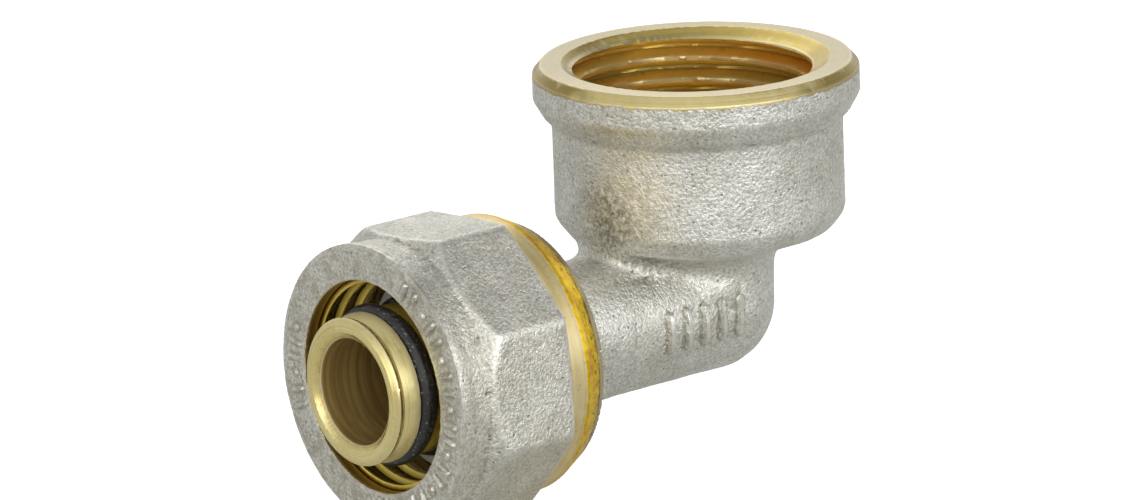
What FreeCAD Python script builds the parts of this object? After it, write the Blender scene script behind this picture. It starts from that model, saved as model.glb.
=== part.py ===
# Compression elbow for 16 mm multilayer pipe with a G1/2 female socket.
# Millimetres. Origin: centre of the female socket's mouth. +Z points out of that mouth, and the pipe port
# points along -Y, with its axis PORT_DROP below the mouth. Pieces of the port are made standing on Z, with z
# measured outwards from the socket's axis, and are laid down along -Y by to_port. On these pieces "rear" is
# the end towards the elbow and "front" the end away from it.
import FreeCAD, Part
import math
import os
from FreeCAD import Vector

os.makedirs("parts", exist_ok=True)

PORT_DROP = 19.9          # mouth plane to pipe axis
WATERWAY_R = 4.25

# female socket, G1/2 parallel (14 threads per inch)
G_PITCH = 1.814
G_MINOR_R = 9.3155
G_MAJOR_R = 10.4775
G_LINER_R = 11.0          # the thread is cut in a separate liner of this radius
MOUTH_R = 10.75
RIM_R = 13.1
RIM_TOP_R = 12.45
RIM_CHAMFER = 0.73
SOCKET_R = 11.65
THREAD_DEPTH = 9.5
SOCKET_FLOOR = 11.7       # depth of the tapping bore, at the minor radius below the thread

# elbow: tube, heel and neck share one outer radius
TUBE_R = 5.75
TUBE_LENGTH = 16.0
INNER_CORNER_R = 1.2

# raised marks on the +X side of the elbow
MARK_HEIGHT = 0.22
MARK_ROOT_X = 3.5
MARK_LENGTH = 2.6         # along X, before trimming to height
PIP_R = 0.55
PIP_LIFT = 0.3            # pip centre above the pipe axis
BAR_WIDTH = 0.6
BAR_HEIGHT = 2.6
BAR_DROP = 1.0            # bar's lower end below the pipe axis
MARKS = [(-8.0, "pip"), (-6.2, "bar"), (-4.7, "bar"), (-3.0, "pip"), (-1.3, "bar")]  # (y, kind)

# spigot that carries the nut, metric 20 x 1.5
N_PITCH = 1.5
SPIGOT_MAJOR_R = 9.88
SPIGOT_ROOT_R = 8.98
SPIGOT_CORE_R = 8.75
SPIGOT_START = 18.8
SPIGOT_END = 26.45
SPIGOT_TRIM_R = 10.2      # outside the thread crests
SPIGOT_HELIX_START = 17.1  # the groove passes angle zero at this height

# insert that enters the pipe
INSERT_R = 5.95
INSERT_TIP_R = 5.7
INSERT_END = 36.0
ORING_CS = 1.44           # section diameter of a 10 x 1.5 ring, seated
ORING_FLOOR_R = 4.98
ORING_CLEARANCE = 0.02
GROOVE_W = 1.66
GROOVE_FRONT = 32.9       # groove centres
GROOVE_REAR = 29.15

# octagonal nut
NUT_AF = 22.8
NUT_CORNER_DEG = 115.9    # angle of one corner, from +X towards +Z
NUT_REAR = 18.95
NUT_FACE = 33.87
OCTAGON_REAR = 22.4
OCTAGON_FRONT = 31.8
NUT_COLLAR_R = 11.3
NUT_EDGE = 0.3            # size of the rounded edge at the front face
NUT_MOUTH_R = 8.45
NUT_MOUTH_BEVEL = 0.12
NUT_MINOR_R = 9.2
NUT_MAJOR_R = 10.05
NUT_RELIEF_R = 10.15
NUT_THREAD_END = 26.3
NUT_LINER_R = 10.6        # the thread is cut in a separate liner of this radius
NUT_LINER_REAR_R = 10.12  # the liner narrows to this at the rear face
NUT_LINER_TAPER = 1.9     # length of that narrowing
NUT_LEAD_IN_R = 9.0       # front end of the 45 degree lead-in

# split compression ring
RING_REAR = 28.0
RING_FRONT = 32.75
RING_R = 9.0
RING_CREST_R = 8.03
RING_ROOT_R = 8.45
RING_PITCH = 1.68
RING_CRESTS = 3
RING_CREST_W = 0.38
RING_FLANK_W = 0.32       # length of each slope between crest and root
RING_BEVEL = 0.12         # at the front of the bore
RING_GAP = 1.6
RING_GAP_DEG = -12.0      # from +X towards +Z

# insulating washer
WASHER_R = 8.05
WASHER_BORE_R = 6.02
WASHER_BEVEL = 0.1
WASHER_REAR = SPIGOT_END + 0.02
WASHER_FRONT = SPIGOT_END + 1.0


# ---- helpers ----
def on_axis(z):
    return Vector(0, 0, z)


def revolve(outline):
    """Solid of revolution about Z from (r, z) corners. A 3-tuple (r, z, "arc") marks the middle of an arc."""
    loop = outline + outline[:1]
    points = [Vector(corner[0], 0, corner[1]) for corner in loop]
    edges = []
    i = 0
    while i < len(loop) - 1:
        if len(loop[i + 1]) == 3:
            edges.append(Part.Arc(points[i], points[i + 1], points[i + 2]).toShape())
            i += 2
        else:
            edges.append(Part.makeLine(points[i], points[i + 1]))
            i += 1
    return Part.Face(Part.Wire(edges)).revolve(on_axis(0), on_axis(1), 360)


def hollow_cylinder(r_in, r_out, z_from, z_to):
    length = z_to - z_from
    outer = Part.makeCylinder(r_out, length, on_axis(z_from))
    return outer.cut(Part.makeCylinder(r_in, length + 2, on_axis(z_from - 1)))


def thread_groove(pitch, r_open, w_open, r_root, w_root, z_from, z_to):
    """Right-hand helical groove about Z, as a solid to cut: w_open wide at r_open and w_root wide at r_root."""
    helix = Part.makeHelix(pitch, z_to - z_from, 0.5 * (r_open + r_root))
    section = Part.makePolygon([
        Vector(r_open, 0, -w_open / 2), Vector(r_root, 0, -w_root / 2),
        Vector(r_root, 0, w_root / 2), Vector(r_open, 0, w_open / 2),
        Vector(r_open, 0, -w_open / 2),
    ])
    groove = Part.Wire(helix).makePipeShell([section], True, True)
    groove.translate(on_axis(z_from))
    return groove


def to_port(shape):
    """Local frame with Z out of the pipe port, to the part's frame."""
    shape = shape.copy()
    shape.rotate(on_axis(0), Vector(1, 0, 0), 90)
    shape.translate(on_axis(-PORT_DROP))
    return shape


def save(shape, name):
    solids = shape.Solids
    result = solids[0] if len(solids) == 1 else Part.makeCompound(solids)
    result.exportStep(os.path.join("parts", name + ".step"))


# ---- elbow body: socket, heel, tube, spigot and insert in one ----
def make_forging():
    socket = revolve([
        (0, 0), (RIM_TOP_R, 0), (RIM_R, -RIM_CHAMFER), (RIM_R, -2.75),
        (12.85, -3.55, "arc"), (12.2, -4.15),
        (11.8, -4.55, "arc"), (SOCKET_R, -5.15),
        (SOCKET_R, -12.0), (11.25, -13.1, "arc"), (10.2, -13.8),
        (TUBE_R, -15.45),
        (TUBE_R, -PORT_DROP), (0, -PORT_DROP),
    ])
    heel = Part.makeSphere(TUBE_R, on_axis(-PORT_DROP))
    tube = to_port(Part.makeCylinder(TUBE_R, TUBE_LENGTH))
    forging = socket.fuse([heel, tube]).removeSplitter()

    # soft corner all round the neck, where the tube and neck run into the socket's underside
    corner_edges = []
    for edge in forging.Edges:
        faces = forging.ancestorsOfType(edge, Part.Face)
        kinds = sorted(type(face.Surface).__name__ for face in faces)
        box = edge.BoundBox
        low = box.ZMax < -14.0 and box.ZMin > -PORT_DROP - 0.01
        if low and kinds in (["Cone", "Cylinder"], ["Cylinder", "Cylinder"]):
            corner_edges.append(edge)
    return forging.makeFillet(INNER_CORNER_R, corner_edges)


def make_spigot():
    """Threaded spigot and grooved insert, standing on Z."""
    # thread blank longer than needed, cut, then trimmed with chamfers at both ends
    blank = Part.makeCylinder(SPIGOT_MAJOR_R, 14.0, on_axis(15.5))
    blank = blank.cut(thread_groove(
        pitch=N_PITCH, r_open=9.98, w_open=1.415, r_root=SPIGOT_ROOT_R, w_root=0.26,
        z_from=SPIGOT_HELIX_START, z_to=28.0))
    threaded = blank.common(revolve([
        (0, SPIGOT_START), (9.0, SPIGOT_START), (SPIGOT_TRIM_R, SPIGOT_START + 1.2),
        (SPIGOT_TRIM_R, SPIGOT_END - 0.95), (8.95, SPIGOT_END), (0, SPIGOT_END),
    ]))
    root_r = TUBE_R - 0.02    # just inside the tube's surface
    core_end = SPIGOT_END - 0.3
    outline = [
        (0, 13.0), (root_r, 13.0), (root_r, 15.7), (6.1, 16.25, "arc"), (6.85, 17.0),
        (SPIGOT_CORE_R, 18.45), (SPIGOT_CORE_R, core_end), (INSERT_R, core_end),
    ]
    for centre in (GROOVE_REAR, GROOVE_FRONT):
        rear = centre - GROOVE_W / 2
        front = centre + GROOVE_W / 2
        outline += [(INSERT_R, rear), (ORING_FLOOR_R, rear), (ORING_FLOOR_R, front), (INSERT_R, front)]
    outline += [(INSERT_R, INSERT_END - 0.6), (INSERT_TIP_R, INSERT_END), (0, INSERT_END)]
    return revolve(outline).fuse(threaded)


def make_bores():
    """Waterway, and socket cavity left wide for the thread liner."""
    return [
        Part.makeCylinder(WATERWAY_R, PORT_DROP - SOCKET_FLOOR + 0.6, on_axis(-PORT_DROP)),
        Part.makeSphere(WATERWAY_R, on_axis(-PORT_DROP)),
        to_port(Part.makeCylinder(WATERWAY_R, INSERT_END + 1)),
        to_port(Part.makeCone(WATERWAY_R, WATERWAY_R + 0.5, 0.5, on_axis(INSERT_END - 0.5))),
        revolve([
            (0, 0.5), (G_LINER_R, 0.5), (G_LINER_R, -THREAD_DEPTH), (G_MINOR_R, -THREAD_DEPTH),
            (G_MINOR_R, -SOCKET_FLOOR), (WATERWAY_R + 0.4, -SOCKET_FLOOR - 0.7),
            (WATERWAY_R, -SOCKET_FLOOR - 1.1), (0, -SOCKET_FLOOR - 1.1),
        ]),
    ]


def make_socket_thread():
    """G1/2 thread, cut in a longer liner that is then trimmed to length."""
    liner = Part.makeCylinder(G_LINER_R, 19.0, on_axis(-15.0))
    # the crests open out by a few hundredths towards the bottom, as a tapped bore's do
    liner = liner.cut(Part.makeCone(G_MINOR_R + 0.035, G_MINOR_R - 0.030, 21.0, on_axis(-16.0)))
    liner = liner.cut(thread_groove(
        pitch=G_PITCH, r_open=9.1, w_open=1.734, r_root=G_MAJOR_R, w_root=0.30,
        z_from=-13.0, z_to=2.4))
    liner = liner.common(Part.makeCylinder(G_LINER_R + 1.0, THREAD_DEPTH, on_axis(-THREAD_DEPTH)))
    # countersunk mouth
    return liner.cut(revolve([
        (0, 0.6), (MOUTH_R + 1.2, 0.6), (MOUTH_R, 0), (9.2, -0.80), (0, -0.80),
    ]))


def make_marks():
    """Plain pips and bars, trimmed to a band that follows the tube."""
    band = to_port(hollow_cylinder(TUBE_R - 0.5, TUBE_R + MARK_HEIGHT, -1.5, 10.5))
    marks = []
    for y, kind in MARKS:
        if kind == "pip":
            base = Vector(MARK_ROOT_X, y, -PORT_DROP + PIP_LIFT)
            mark = Part.makeCylinder(PIP_R, MARK_LENGTH, base, Vector(1, 0, 0))
        else:
            corner = Vector(MARK_ROOT_X, y - BAR_WIDTH / 2, -PORT_DROP - BAR_DROP)
            mark = Part.makeBox(MARK_LENGTH, BAR_WIDTH, BAR_HEIGHT, corner)
        marks.append(mark.common(band))
    return marks


def make_body():
    body = make_forging().fuse(to_port(make_spigot()))
    for bore in make_bores():
        body = body.cut(bore)
    body = body.fuse(make_socket_thread())
    return body.fuse(make_marks())


# ---- pieces on the port, standing on Z ----
def make_o_ring(centre):
    section_r = ORING_CS / 2
    return Part.makeTorus(ORING_FLOOR_R + ORING_CLEARANCE + section_r, section_r, on_axis(centre))


def make_washer():
    bevel_r = WASHER_R - WASHER_BEVEL
    return revolve([
        (WASHER_BORE_R, WASHER_REAR), (bevel_r, WASHER_REAR), (WASHER_R, WASHER_REAR + WASHER_BEVEL),
        (WASHER_R, WASHER_FRONT - WASHER_BEVEL), (bevel_r, WASHER_FRONT), (WASHER_BORE_R, WASHER_FRONT),
    ])


def make_nut_blank():
    """Octagon with turned corners, between two round collars."""
    corner_r = NUT_AF / 2 / math.cos(math.pi / 8)
    corners = []
    for k in range(9):
        angle = math.radians(NUT_CORNER_DEG + 45.0 * k)
        corners.append(Vector(corner_r * math.cos(angle), corner_r * math.sin(angle), OCTAGON_REAR))
    prism = Part.Face(Part.makePolygon(corners)).extrude(on_axis(OCTAGON_FRONT - OCTAGON_REAR))
    envelope = revolve([
        (0, OCTAGON_REAR), (11.15, OCTAGON_REAR), (11.3, 22.75), (12.5, 23.55), (12.5, 29.85),
        (11.3, 31.2), (11.1, OCTAGON_FRONT), (0, OCTAGON_FRONT),
    ])
    collars = revolve([
        (0, NUT_REAR), (10.25, NUT_REAR), (11.16, 21.0), (11.27, 22.85), (11.27, 23.3),
        (10.9, 24.0), (10.9, 30.6), (NUT_COLLAR_R, 31.15), (NUT_COLLAR_R, NUT_FACE - NUT_EDGE),
        (NUT_COLLAR_R - 0.09, NUT_FACE - 0.09, "arc"), (NUT_COLLAR_R - NUT_EDGE, NUT_FACE),
        (0, NUT_FACE),
    ])
    return prism.common(envelope).fuse(collars)


def make_nut_cavity():
    taper_slope = (NUT_LINER_R - NUT_LINER_REAR_R) / NUT_LINER_TAPER
    bevel_r = NUT_MOUTH_R + NUT_MOUTH_BEVEL
    return revolve([
        (0, NUT_REAR - 1), (NUT_LINER_REAR_R - taper_slope, NUT_REAR - 1),
        (NUT_LINER_R, NUT_REAR + NUT_LINER_TAPER), (NUT_LINER_R, NUT_THREAD_END),
        (NUT_RELIEF_R, NUT_THREAD_END), (NUT_RELIEF_R, 27.5), (NUT_MINOR_R, 28.0),
        (NUT_MINOR_R, 31.3), (NUT_MOUTH_R, 32.9), (NUT_MOUTH_R, NUT_FACE - NUT_MOUTH_BEVEL),
        (bevel_r, NUT_FACE), (bevel_r, NUT_FACE + 1), (0, NUT_FACE + 1),
    ])


def make_nut_thread():
    """Same helix as the spigot's, half a pitch on, so that each ridge lies in a groove."""
    liner = hollow_cylinder(NUT_MINOR_R, 10.8, 15.2, 30.0)
    liner = liner.cut(thread_groove(
        pitch=N_PITCH, r_open=9.05, w_open=1.374, r_root=NUT_MAJOR_R, w_root=0.22,
        z_from=SPIGOT_HELIX_START - N_PITCH / 2, z_to=28.35))
    liner = liner.common(revolve([
        (0, NUT_REAR), (NUT_LINER_REAR_R, NUT_REAR), (NUT_LINER_R, NUT_REAR + NUT_LINER_TAPER),
        (NUT_LINER_R, NUT_THREAD_END), (0, NUT_THREAD_END),
    ]))
    # lead-in cone, so that the thread starts clear of the rear face
    lead_in_end = NUT_REAR + NUT_LINER_REAR_R - NUT_LEAD_IN_R
    return liner.cut(revolve([
        (0, NUT_REAR - 1), (NUT_LINER_REAR_R + 1, NUT_REAR - 1), (NUT_LINER_REAR_R, NUT_REAR),
        (NUT_LEAD_IN_R, lead_in_end), (0, lead_in_end),
    ]))


def make_nut():
    return make_nut_blank().cut(make_nut_cavity()).fuse(make_nut_thread())


def make_compression_ring():
    outline = [
        (RING_CREST_R + 0.3, RING_REAR), (RING_R - 0.35, RING_REAR), (RING_R, RING_REAR + 0.5),
        (RING_R, 31.35), (8.38, RING_FRONT), (RING_CREST_R + RING_BEVEL, RING_FRONT),
    ]
    # ribbed bore, from the front crest to the rear one
    for k in range(RING_CRESTS):
        z = RING_FRONT - RING_BEVEL - k * RING_PITCH
        outline += [(RING_CREST_R, z), (RING_CREST_R, z - RING_CREST_W)]
        if k < RING_CRESTS - 1:
            outline += [(RING_ROOT_R, z - RING_CREST_W - RING_FLANK_W),
                        (RING_ROOT_R, z - RING_PITCH + RING_FLANK_W)]
    gap = Part.makeBox(4, RING_GAP, 8, Vector(7, -RING_GAP / 2, RING_REAR - 1))
    gap.rotate(on_axis(0), on_axis(1), RING_GAP_DEG)
    return revolve(outline).cut(gap)


save(make_body(), "elbow_body")
save(to_port(make_o_ring(GROOVE_FRONT)), "front_o_ring")
save(to_port(make_o_ring(GROOVE_REAR)), "rear_o_ring")
save(to_port(make_washer()), "insulating_washer")
save(to_port(make_nut()), "octagonal_nut")
save(to_port(make_compression_ring()), "compression_ring")
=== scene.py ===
import bpy
import math
import numpy as np
from mathutils import Matrix, Vector


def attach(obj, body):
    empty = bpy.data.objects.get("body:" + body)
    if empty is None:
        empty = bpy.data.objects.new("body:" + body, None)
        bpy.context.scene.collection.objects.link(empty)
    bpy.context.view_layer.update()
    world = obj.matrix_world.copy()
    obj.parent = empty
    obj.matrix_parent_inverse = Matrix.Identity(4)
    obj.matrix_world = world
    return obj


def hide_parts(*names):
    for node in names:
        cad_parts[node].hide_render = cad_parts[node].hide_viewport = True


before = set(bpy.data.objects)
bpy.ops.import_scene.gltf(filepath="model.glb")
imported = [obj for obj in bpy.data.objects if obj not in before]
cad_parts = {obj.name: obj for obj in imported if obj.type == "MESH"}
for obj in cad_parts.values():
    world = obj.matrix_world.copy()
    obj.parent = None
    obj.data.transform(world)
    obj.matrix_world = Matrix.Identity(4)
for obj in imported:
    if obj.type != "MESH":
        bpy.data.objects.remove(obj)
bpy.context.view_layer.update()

MM = 0.001

# =============================================================================================================
# Dimensions, mm, in the CAD frame. "s" runs along the pipe axis, outwards from the socket's axis (s = -y).
# =============================================================================================================
H = 19.9
R_BORE = 4.25
R_TUBE = 5.74
G_P, G_MIN, G_MAJ = 1.814, 9.3155, 10.4775
N_P = 1.5
THREAD_PHASE = 17.1            # the spigot's groove passes angle zero here


# Where the handling stains sit (mm), and the room: soft patches of light as (direction, from, to, low, high)
STAIN_AT = (2.2, -11.4, -10.6)
ROOM = [
    ((0.0, 0.0, 1.0), -1.0, 1.0, 0.66, 0.66),
    ((-0.77, 0.63, 0.12), 0.68, 0.99, 0.0, 0.42),
    ((0.72, 0.69, 0.08), 0.40, 0.97, 0.0, 0.42),
    ((0.92, 0.18, 0.335), 0.93, 0.995, 0.0, 2.40),
    ((0.78, -0.57, 0.24), 0.40, 1.00, 0.0, 0.36),
    ((-0.08, -0.99, 0.00), 0.74, 1.00, 0.0, 0.75),
    ((0.10, 0.62, 0.78), 0.70, 1.00, 0.0, -0.36),
]
SOFTBOXES = [
    ("key", (0.74, -0.30, 0.16), (0.45, 0.60), 1.15),
    ("top", (-0.52, 0.29, 0.54), (0.60, 0.50), 0.6),
    ("fill", (0.45, -0.75, 0.35), (0.50, 0.50), 0.7),
]

# =============================================================================================================
# Small numpy toolbox: noise, 2-D profile distance tables, smooth booleans, dual contouring
# =============================================================================================================
_noise_tables = {}


def noise(p, size, seed=0):
    """Smooth value noise in -1..1, with features about size mm. p is (N, 3) in mm."""
    if seed not in _noise_tables:
        _noise_tables[seed] = np.random.RandomState(seed).uniform(-1, 1, (32, 32, 32)).astype(np.float32)
    t = _noise_tables[seed]
    q = p / size + 1000.0
    i = np.floor(q).astype(np.int64)
    f = (q - i).astype(np.float32)
    f = f * f * (3 - 2 * f)
    i &= 31
    j = (i + 1) & 31
    x0, y0, z0 = i.T
    x1, y1, z1 = j.T
    fx, fy, fz = f.T
    c00 = t[x0, y0, z0] * (1 - fx) + t[x1, y0, z0] * fx
    c10 = t[x0, y1, z0] * (1 - fx) + t[x1, y1, z0] * fx
    c01 = t[x0, y0, z1] * (1 - fx) + t[x1, y0, z1] * fx
    c11 = t[x0, y1, z1] * (1 - fx) + t[x1, y1, z1] * fx
    return ((c00 * (1 - fy) + c10 * fy) * (1 - fz) + (c01 * (1 - fy) + c11 * fy) * fz).astype(float)


def poly_distance(px, py, pts):
    """Signed distance to a closed polygon, negative inside."""
    d2 = np.full(px.shape, 1e9)
    inside = np.zeros(px.shape, bool)
    n = len(pts)
    for i in range(n):
        ax, ay = pts[i]
        bx, by = pts[(i + 1) % n]
        ex, ey = bx - ax, by - ay
        l2 = ex * ex + ey * ey
        if l2 < 1e-12:
            continue
        wx, wy = px - ax, py - ay
        t = np.clip((wx * ex + wy * ey) / l2, 0, 1)
        dx, dy = wx - t * ex, wy - t * ey
        d2 = np.minimum(d2, dx * dx + dy * dy)
        if ay != by:
            cross = ((ay > py) != (by > py)) & (px < ex * (py - ay) / ey + ax)
            inside ^= cross
    d = np.sqrt(d2)
    return np.where(inside, -d, d)


def soften(points, default=0.0):
    """Closed 2-D polygon with its corners rounded. Each point is (x, y) or (x, y, radius)."""
    out = []
    n = len(points)
    for i in range(n):
        p = np.array(points[i][:2], float)
        r = points[i][2] if len(points[i]) > 2 else default
        a = np.array(points[i - 1][:2], float) - p
        b = np.array(points[(i + 1) % n][:2], float) - p
        la, lb = np.hypot(*a), np.hypot(*b)
        if r <= 0 or la < 1e-9 or lb < 1e-9:
            out.append(tuple(p))
            continue
        a /= la
        b /= lb
        ang = math.acos(float(np.clip(a @ b, -1, 1)))
        if ang > math.pi - 0.02:
            out.append(tuple(p))
            continue
        cut = min(r / math.tan(ang / 2), la * 0.48, lb * 0.48)
        p0, p2 = p + a * cut, p + b * cut
        for k in range(7):
            t = k / 6
            out.append(tuple(p0 * (1 - t) ** 2 + 2 * p * t * (1 - t) + p2 * t * t))
    return out


class Profile:
    """Lookup table of the signed distance to a closed (radius, height) polygon."""

    def __init__(self, pts, step=0.02, pad=1.2):
        a = np.array(pts, float)
        self.lo = np.array([a[:, 0].min() - 0.1, a[:, 1].min() - pad])
        hi = np.array([a[:, 0].max() + pad, a[:, 1].max() + pad])
        self.n = np.ceil((hi - self.lo) / step).astype(int) + 1
        self.step = step
        gx = self.lo[0] + step * np.arange(self.n[0])
        gy = self.lo[1] + step * np.arange(self.n[1])
        X, Y = np.meshgrid(gx, gy, indexing="ij")
        self.t = poly_distance(X, Y, pts).astype(np.float32)
        self.hi = self.lo + step * (self.n - 1)

    def __call__(self, r, z):
        rc = np.clip(r, self.lo[0], self.hi[0] - 1e-6)
        zc = np.clip(z, self.lo[1], self.hi[1] - 1e-6)
        out = np.hypot(r - rc, z - zc)
        fx, fy = (rc - self.lo[0]) / self.step, (zc - self.lo[1]) / self.step
        i = np.minimum(fx.astype(int), self.n[0] - 2)
        j = np.minimum(fy.astype(int), self.n[1] - 2)
        fx, fy = fx - i, fy - j
        t = self.t
        v = (t[i, j] * (1 - fx) + t[i + 1, j] * fx) * (1 - fy) + (t[i, j + 1] * (1 - fx) + t[i + 1, j + 1] * fx) * fy
        return v + out


class ThreadProfile:
    """Distance to the region r < crest curve of a thread, in (radius, height within one pitch)."""

    def __init__(self, pitch, r_low, r_high, flat_low, flat_high, rnd=0.06):
        self.p = pitch
        pts = [(r_low - 3, -2.5 * pitch)]
        for k in (-2, -1, 0, 1, 2):
            c = k * pitch
            pts += [(r_low, c - pitch / 2, rnd), (r_low, c - pitch / 2 + flat_low / 2, rnd),
                    (r_high, c - flat_high / 2, rnd), (r_high, c + flat_high / 2, rnd),
                    (r_low, c + pitch / 2 - flat_low / 2, rnd)]
        pts += [(r_low, 2.5 * pitch), (r_low - 3, 2.5 * pitch)]
        self.table = Profile(soften(pts), step=0.015, pad=0.3)

    def __call__(self, r, z, theta, z_zero):
        """z_zero is a height where the wide (r_high) part passes angle zero. Right-hand."""
        zeta = z - z_zero - self.p * theta / (2 * math.pi)
        zeta = zeta - self.p * np.round(zeta / self.p)
        return self.table(r, zeta)


def smin(a, b, k):
    h = np.maximum(k - np.abs(a - b), 0) / np.maximum(k, 1e-9)
    return np.minimum(a, b) - h * h * k * 0.25


def smax(a, b, k):
    return -smin(-a, -b, k)


def sstep(a, b, x):
    t = np.clip((x - a) / (b - a), 0, 1)
    return t * t * (3 - 2 * t)


def contour(f, lo, hi, h, eps=0.012, bias=0.06):
    """Dual contouring of f(points in mm) = 0, with sharp features. Returns vertices in mm and quads."""
    lo = np.array(lo, float)
    B = 8
    nb = np.ceil((np.array(hi, float) - lo) / (h * B)).astype(int)
    n = nb * B
    F = np.empty(n, np.float32)
    bi = np.stack(np.meshgrid(*[np.arange(k) for k in nb], indexing="ij"), -1).reshape(-1, 3)
    centre = lo + (bi * B + (B - 1) / 2) * h
    fc = f(centre)
    Fb = F.reshape(nb[0], B, nb[1], B, nb[2], B)
    Fb[:] = fc.reshape(nb).astype(np.float32)[:, None, :, None, :, None]
    near = bi[np.abs(fc) < 0.5 * h * B * 1.75 + 0.35]
    off = np.stack(np.meshgrid(*[np.arange(B)] * 3, indexing="ij"), -1).reshape(-1, 3)
    for c0 in range(0, len(near), 1500):
        nn = near[c0:c0 + 1500]
        idx = (nn[:, None, :] * B + off[None]).reshape(-1, 3)
        F[idx[:, 0], idx[:, 1], idx[:, 2]] = f(lo + idx * h)
    S = F < 0
    cells, pts, quads_src = [], [], []
    for ax in range(3):
        sl0, sl1 = [slice(None)] * 3, [slice(None)] * 3
        sl0[ax], sl1[ax] = slice(0, -1), slice(1, None)
        cross = S[tuple(sl0)] != S[tuple(sl1)]
        e = np.argwhere(cross)
        o1, o2 = (ax + 1) % 3, (ax + 2) % 3
        e = e[(e[:, o1] > 0) & (e[:, o2] > 0)]
        e2 = e.copy()
        e2[:, ax] += 1
        fa = F[e[:, 0], e[:, 1], e[:, 2]].astype(float)
        fb = F[e2[:, 0], e2[:, 1], e2[:, 2]].astype(float)
        ta, tb = np.zeros(len(e)), np.ones(len(e))
        p = lo + e * h
        for it in range(3):
            t = np.clip(ta + (tb - ta) * fa / np.where(np.abs(fa - fb) < 1e-12, 1e-12, fa - fb), 0, 1)
            if it == 2:
                break
            q = p.copy()
            q[:, ax] += t * h
            ft = f(q)
            same = (ft < 0) == (fa < 0)
            ta, fa = np.where(same, t, ta), np.where(same, ft, fa)
            tb, fb = np.where(same, tb, t), np.where(same, fb, ft)
        q = p.copy()
        q[:, ax] += t * h
        pts.append(q)
        quads_src.append((ax, e, S[e[:, 0], e[:, 1], e[:, 2]]))
    P = np.vstack(pts)
    N = gradient(f, P, eps)
    # the four cells round each crossing edge
    k0 = 0
    cell_id, corner = [], []
    for ax, e, s in quads_src:
        o1, o2 = (ax + 1) % 3, (ax + 2) % 3
        four = []
        for a, b in ((-1, -1), (0, -1), (0, 0), (-1, 0)):
            c = e.copy()
            c[:, o1] += a
            c[:, o2] += b
            four.append(np.ravel_multi_index(c.T, n))
        corner.append(np.stack(four, 1))
    C = np.vstack(corner)
    inside_first = np.concatenate([s for _, _, s in quads_src])
    uniq, inv = np.unique(C.ravel(), return_inverse=True)
    inv = inv.reshape(C.shape)
    m = len(uniq)
    cnt = np.zeros(m)
    mass = np.zeros((m, 3))
    for k in range(4):
        cnt += np.bincount(inv[:, k], minlength=m)
        for a in range(3):
            mass[:, a] += np.bincount(inv[:, k], weights=P[:, a], minlength=m)
    mass /= cnt[:, None]
    A = np.zeros((m, 3, 3))
    rhs = np.zeros((m, 3))
    for k in range(4):
        ids = inv[:, k]
        d = np.einsum("ij,ij->i", N, P - mass[ids])
        for a in range(3):
            rhs[:, a] += np.bincount(ids, weights=N[:, a] * d, minlength=m)
            for b in range(a, 3):
                v = np.bincount(ids, weights=N[:, a] * N[:, b], minlength=m)
                A[:, a, b] += v
                if a != b:
                    A[:, b, a] += v
    A += np.eye(3)[None] * (bias * cnt[:, None, None] * 0.25)
    x = mass + np.linalg.solve(A, rhs[..., None])[..., 0]
    ci = np.stack(np.unravel_index(uniq, n), 1)
    clo = lo + ci * h
    x = np.clip(x, clo + 0.02 * h, clo + 0.98 * h)
    quads = inv.copy()
    quads[~inside_first] = quads[~inside_first][:, ::-1]
    return x, quads


def gradient(f, P, eps):
    out = np.empty_like(P)
    for a in range(3):
        q = P.copy()
        q[:, a] += eps
        hi = f(q)
        q[:, a] -= 2 * eps
        out[:, a] = hi - f(q)
    return out / np.maximum(np.linalg.norm(out, axis=1, keepdims=True), 1e-12)


def to_object(name, verts_mm, quads, sharp_deg=32.0):
    me = bpy.data.meshes.new(name)
    v = (verts_mm * MM).astype(np.float32)
    me.vertices.add(len(v))
    me.vertices.foreach_set("co", v.ravel())
    q = np.asarray(quads, np.int32)
    me.loops.add(q.size)
    me.loops.foreach_set("vertex_index", q.ravel())
    me.polygons.add(len(q))
    me.polygons.foreach_set("loop_start", np.arange(len(q), dtype=np.int32) * q.shape[1])
    me.polygons.foreach_set("use_smooth", np.ones(len(q), bool))
    me.update(calc_edges=True)
    me.validate()
    if sharp_deg:
        me.set_sharp_from_angle(angle=math.radians(sharp_deg))
    ob = bpy.data.objects.new(name, me)
    bpy.context.scene.collection.objects.link(ob)
    return ob


# =============================================================================================================
# Elbow body: one forging with its machined ends
# =============================================================================================================
SOCKET = Profile(soften([
    (0, 0.0), (12.41, 0.0, 0.06), (13.05, -0.74, 0.10), (13.05, -2.75, 0.75), (12.35, -4.0, 0.9), (11.72, -4.55, 0.7),
    (11.64, -5.6, 0.4), (11.64, -12.35, 1.35), (10.75, -13.55, 0.9), (8.4, -14.42, 0.8), (5.6, -15.75), (0, -15.75),
]))
FLARE_AND_INSERT = Profile(soften([
    (0, 12.0), (5.6, 12.0), (5.7, 15.6, 0.6), (6.75, 16.95, 0.5), (8.72, 18.4, 0.15), (8.72, 26.1), (8.72, 26.45, 0.1),
    (5.95, 26.45, 0.08), (5.95, 28.32, 0.06), (5.0, 28.34, 0.1), (5.0, 29.96, 0.1), (5.95, 29.98, 0.06),
    (5.95, 32.07, 0.06), (5.0, 32.09, 0.1), (5.0, 33.71, 0.1), (5.95, 33.73, 0.07), (5.95, 34.05, 0.3), (5.71, 35.12, 0.12),
    (5.87, 35.48, 0.12), (5.82, 35.70, 0.1), (5.42, 35.99, 0.08),
    (0, 35.99),
]))
SPIGOT_THREAD = ThreadProfile(1.5, 8.98, 9.86, 0.30, 0.24, 0.04)
SPIGOT_LIMITS = Profile([(0, 18.8), (9.0, 18.8), (10.2, 20.0), (10.2, 25.5), (8.95, 26.45), (0, 26.45)])
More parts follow.
